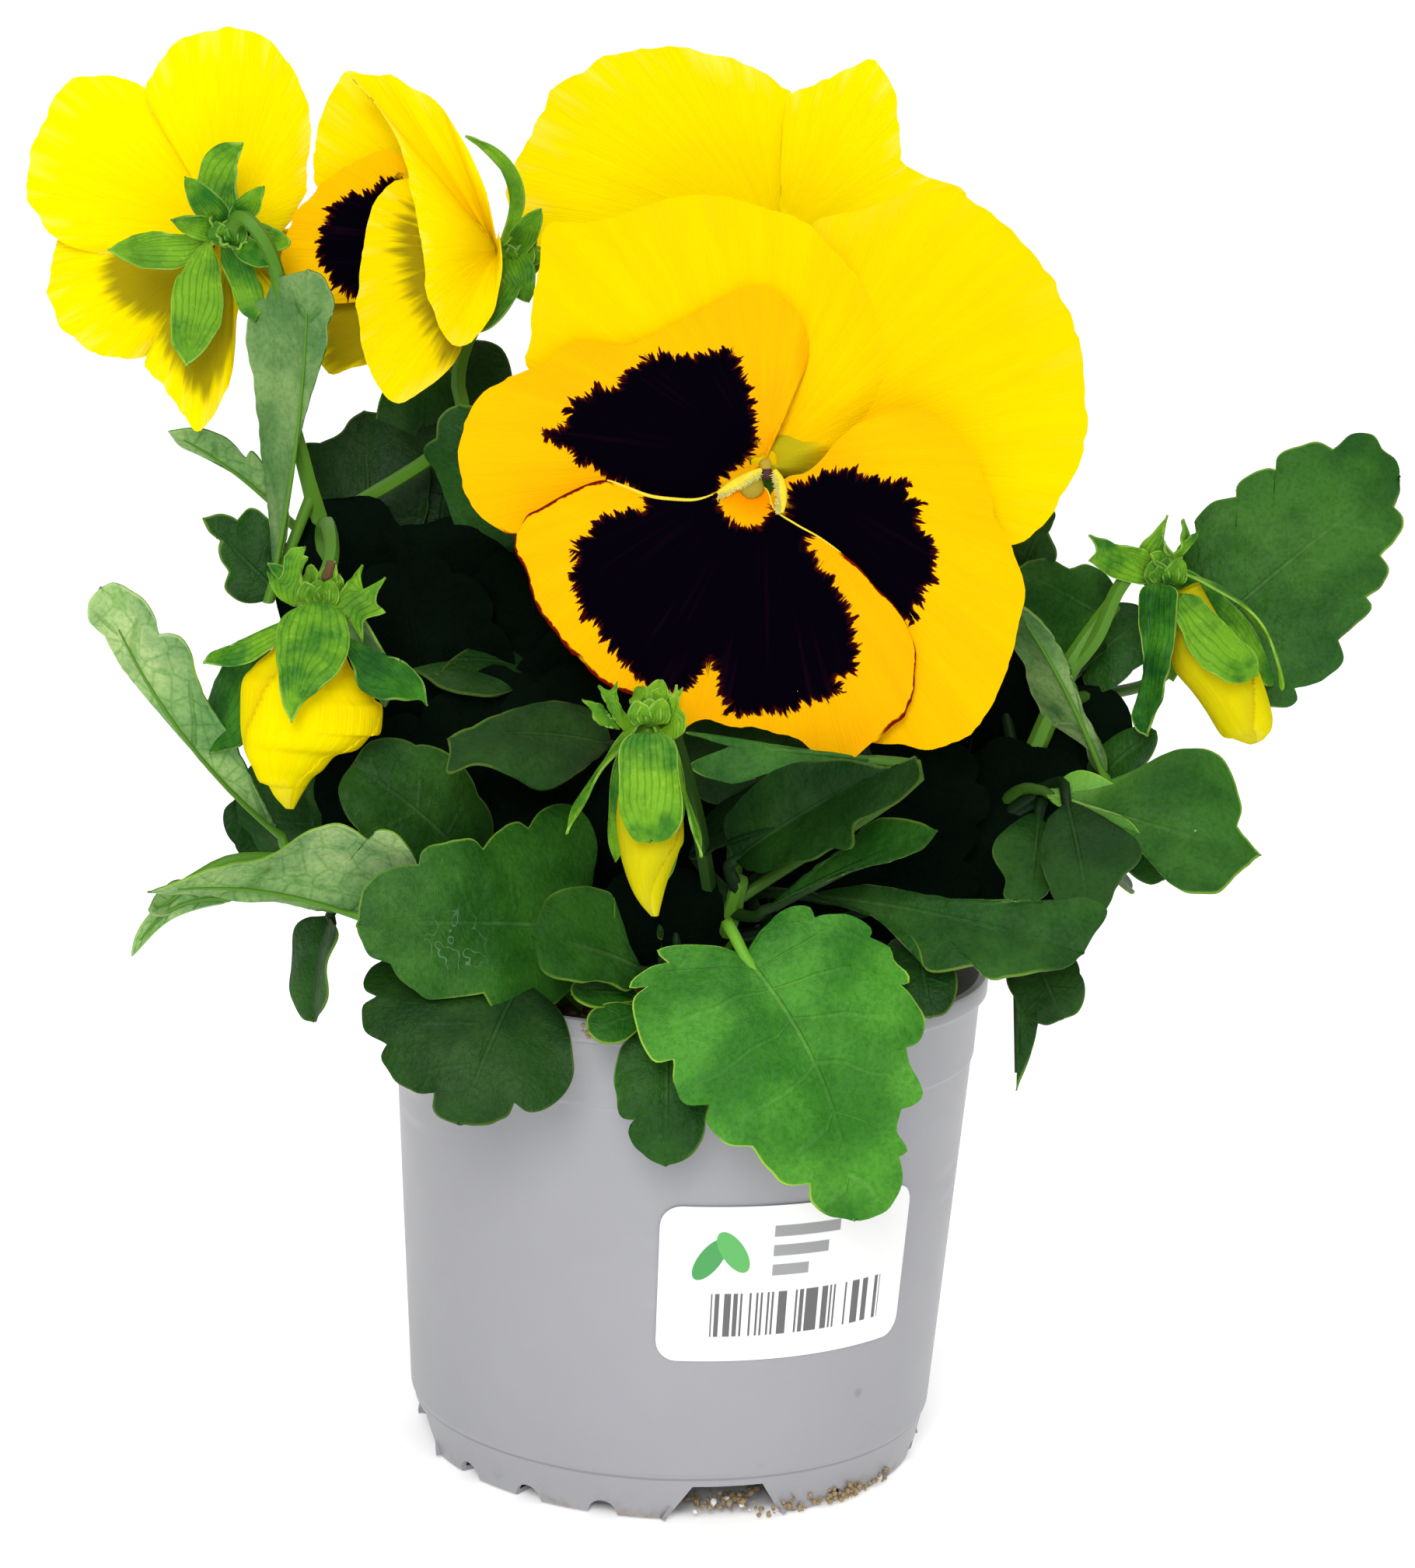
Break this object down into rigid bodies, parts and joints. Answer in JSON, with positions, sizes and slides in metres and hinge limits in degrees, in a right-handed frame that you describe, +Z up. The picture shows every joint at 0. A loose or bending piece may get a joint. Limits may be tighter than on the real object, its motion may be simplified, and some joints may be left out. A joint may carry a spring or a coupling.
{
  "type": "potted pansy",
  "caption": "Yellow pansy with dark-blotched blooms, buds and toothed leaves in a round grey plastic nursery pot with a blank label.",
  "frame": {"origin": "centre of the pot's flat underside", "axes": "+Z up along the pot's axis; the main bloom faces -Y; +X is to the right in the picture"},
  "size_m": [0.2411, 0.1452, 0.2414],
  "materials": {
    "pot": "satin grey thermoformed plastic",
    "label": "smooth white sticker",
    "soil": "dark moist peat with white granules",
    "leaf": "semi-gloss green leaf",
    "petal": "velvety yellow petal with a dark blotch",
    "bud": "pale yellow folded petals"
  },
  "bodies": {
    "root": {"pot": "pot", "label": "label", "soil": "soil", "leafy_stem_front": "leaf", "leafy_stem_left": "leaf", "leafy_stem_tall": "leaf", "leafy_stem_right": "leaf", "leafy_stem_back": "leaf", "leafy_stem_rear_left": "leaf", "leafy_stem_rear_right": "leaf", "petals_front": "petal", "petals_left": "petal", "petals_side": "petal", "petals_rear": "petal", "bud_left": "bud", "bud_middle": "bud", "bud_right": "bud"}
  },
  "joints": []
}
